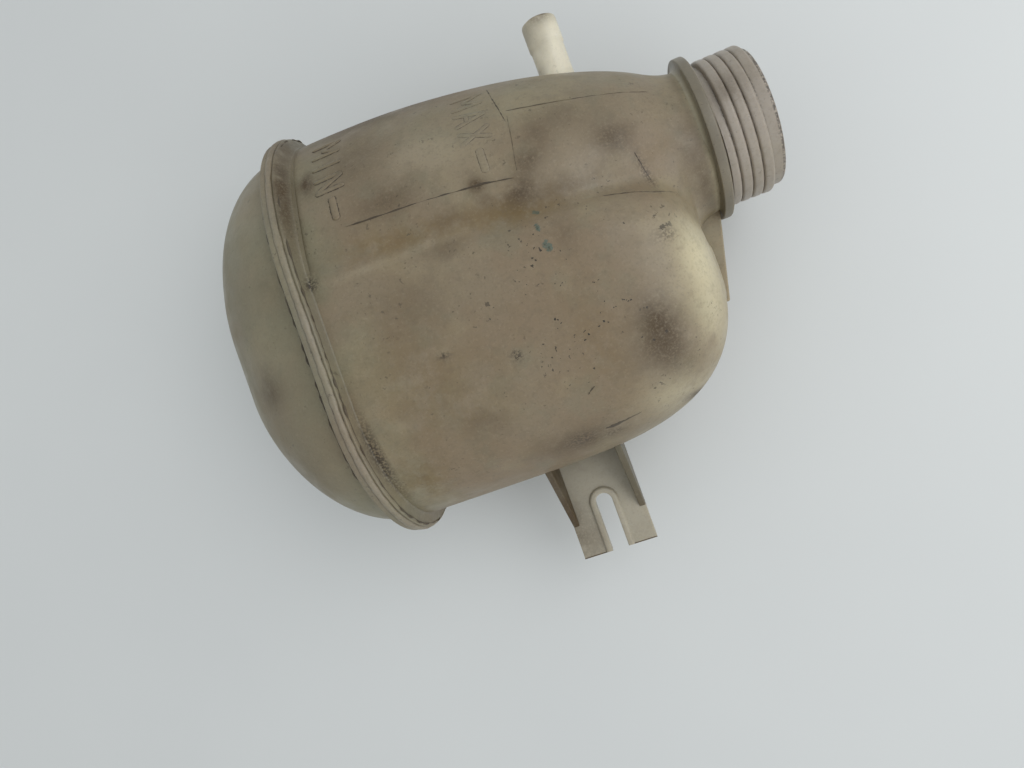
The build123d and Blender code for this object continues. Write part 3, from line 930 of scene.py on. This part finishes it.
# Each line: its points along and across, its width, its height and where its unevenness starts
STREAK_WIDTHS = (0.5, 2.3, 1.3, 0.3)
seams = [
    seam([(20, -7), (29, -6.2), (40, -5.4), (48, -4.8), (56, -4), (66, -3), (76, -1.2)], 0.70, 0.12, 5.4),
    seam([(80, -24), (93, -21.4), (106, -19), (116, -17), (124, -15)], 0.50, 0.10, 1.0),
    seam([(76, -37), (77, -31), (78, -26), (79, -20)], 0.50, 0.10, 2.0),
    seam([(75, 81.7), (77.7, 81.7), (81.7, 81.3), (87.9, 80.4)], STREAK_WIDTHS, 0.10, 3.0, steady=0.7),
    seam([(74.6, 69.3), (76, 68.2), (77.4, 67.5)], 0.55, 0.06, 1.7),
    seam([(111.0, 29.9), (113.0, 29.4), (115.4, 29.2)], 2.3, 0.10, 4.0),
    seam([(113.0, 3.4), (114.3, 9.4), (115.6, 15.4)], 0.5, 0.06, 0.5),
    seam([(80, -22), (79, -13), (77.4, -3)], 0.18, 0.05, 2.6),
    seam([(99, 13.5), (108, 15.8), (114, 17.6), (122, 18.8)], 0.45, 0.10, 0.2),
]
piece("mould_seams", seams, seam_dirt, "tank_body", FINE_SHARP)

paint = [
    seam([(77.6, 10.8), (79.4, 11.9)], 1.8, 0.05, 0.4),
    seam([(77.3, 15.2), (77.9, 18.0)], 1.6, 0.05, 2.2),
    seam([(77.9, 21.6), (79.5, 24.8)], 2.6, 0.05, 1.1),
]
piece("paint_spots", paint, paint_spot, "tank_body", FINE_SHARP)

# Floor, light and camera
FLOOR_HALF, FLOOR_LINES, FLOOR_DROP = 3.0, 13, 0.0003
FLOOR_CLOUDS_MM = 160.0
LIT_SPOT = (0.0, 0.0, 0.04)
SKY_LIGHT, SKY_SEEN = 0.75, 0.9


def floor_finish():
    """Painted board, matt and pale: faint cloudiness only."""
    material, tree, output, at = fresh_material("pale_painted_board")
    scaled = {"Vector": at, "Scale": PER_METRE / FLOOR_CLOUDS_MM, "Detail": 3.0}
    cloud = add(tree, "ShaderNodeTexNoise", scaled).outputs["Fac"]
    mixing = {0: cloud, 6: linear("#d0d3d4"), 7: linear("#d8dbdb")}
    colour = add(tree, "ShaderNodeMix", mixing, data_type="RGBA").outputs[2]
    shader = add(tree, "ShaderNodeBsdfPrincipled", {"Base Color": colour, "Roughness": 0.55})
    tree.links.new(shader.outputs[0], output.inputs["Surface"])
    return material


def pale_floor():
    """A flat square grid well beyond the view."""
    side = np.linspace(-FLOOR_HALF, FLOOR_HALF, FLOOR_LINES)
    x, y = np.meshgrid(side, side, indexing="ij")
    points = np.stack([x, y, np.full_like(x, -FLOOR_DROP)], -1)
    faces = grid_faces(FLOOR_LINES, FLOOR_LINES, False, False)[:, ::-1]
    mesh = bpy.data.meshes.new("floor")
    mesh.from_pydata(points.reshape(-1, 3).tolist(), [], faces.tolist())
    mesh.materials.append(floor_finish())
    made = bpy.data.objects.new("floor", mesh)
    bpy.context.scene.collection.objects.link(made)


pale_floor()


def soft_lamp(name, towards, distance, size, power):
    """A square soft box in a direction given in tank axes, turned to the tank."""
    lamp = bpy.data.lights.new(name, "AREA")
    lamp.shape = "SQUARE"
    lamp.size = size
    lamp.energy = power
    made = bpy.data.objects.new(name, lamp)
    bpy.context.scene.collection.objects.link(made)
    way = np.array(towards) @ AXES
    made.location = Vector((way / np.linalg.norm(way) * distance).tolist())
    made.rotation_euler = (Vector(LIT_SPOT) - made.location).to_track_quat("-Z", "Y").to_euler()


soft_lamp("key_softbox", (0.60, -0.10, 0.78), distance=1.0, size=0.7, power=3.3)
soft_lamp("fill_softbox", (0.55, 0.72, 0.45), distance=1.5, size=1.2, power=4.6)

# A pale surround, a little brighter where it is seen or mirrored than where it only lights
world = bpy.data.worlds.new("studio")
bpy.context.scene.world = world
world.use_nodes = True
sky = world.node_tree
sky.nodes.clear()
rays = add(sky, "ShaderNodeLightPath").outputs
shows = rays["Is Camera Ray"]
for kind in ("Is Glossy Ray", "Is Transmission Ray"):
    shows = add(sky, "ShaderNodeMath", {0: shows, 1: rays[kind]}, operation="MAXIMUM").outputs[0]
brightness = {"Value": shows, "To Min": SKY_LIGHT, "To Max": SKY_SEEN}
strength = add(sky, "ShaderNodeMapRange", brightness).outputs["Result"]
backdrop = add(sky, "ShaderNodeBackground", {"Color": linear("#e9ecec"), "Strength": strength})
add(sky, "ShaderNodeOutputWorld", {"Surface": backdrop.outputs[0]})

# Camera as fitted to the photograph: its right and forward directions and its place, in tank axes
CAMERA_RIGHT = np.array([0.927, 0.339, -0.163])
CAMERA_FORWARD = np.array([-0.165, -0.023, -0.986])
CAMERA_PLACE = (91.4, 63.5, 267.8)
FOCAL_PIXELS, PICTURE_PIXELS, SENSOR_MM = 740.0, 1024.0, 36.0

forward = CAMERA_FORWARD @ AXES
forward /= np.linalg.norm(forward)
right = CAMERA_RIGHT @ AXES
right -= forward * (right @ forward)
right /= np.linalg.norm(right)
turn = np.eye(4)
turn[:3, :3] = np.stack([right, np.cross(right, forward), -forward], 1)
turn[:3, 3] = place(*CAMERA_PLACE)
lens = bpy.data.cameras.new("camera")
lens.sensor_width = SENSOR_MM
lens.sensor_fit = "HORIZONTAL"
lens.lens = FOCAL_PIXELS / PICTURE_PIXELS * SENSOR_MM
lens.clip_start = 0.01
camera = bpy.data.objects.new("camera", lens)
bpy.context.scene.collection.objects.link(camera)
camera.matrix_world = Matrix(turn.tolist())
bpy.context.scene.camera = camera
bpy.context.scene.view_settings.view_transform = "Standard"
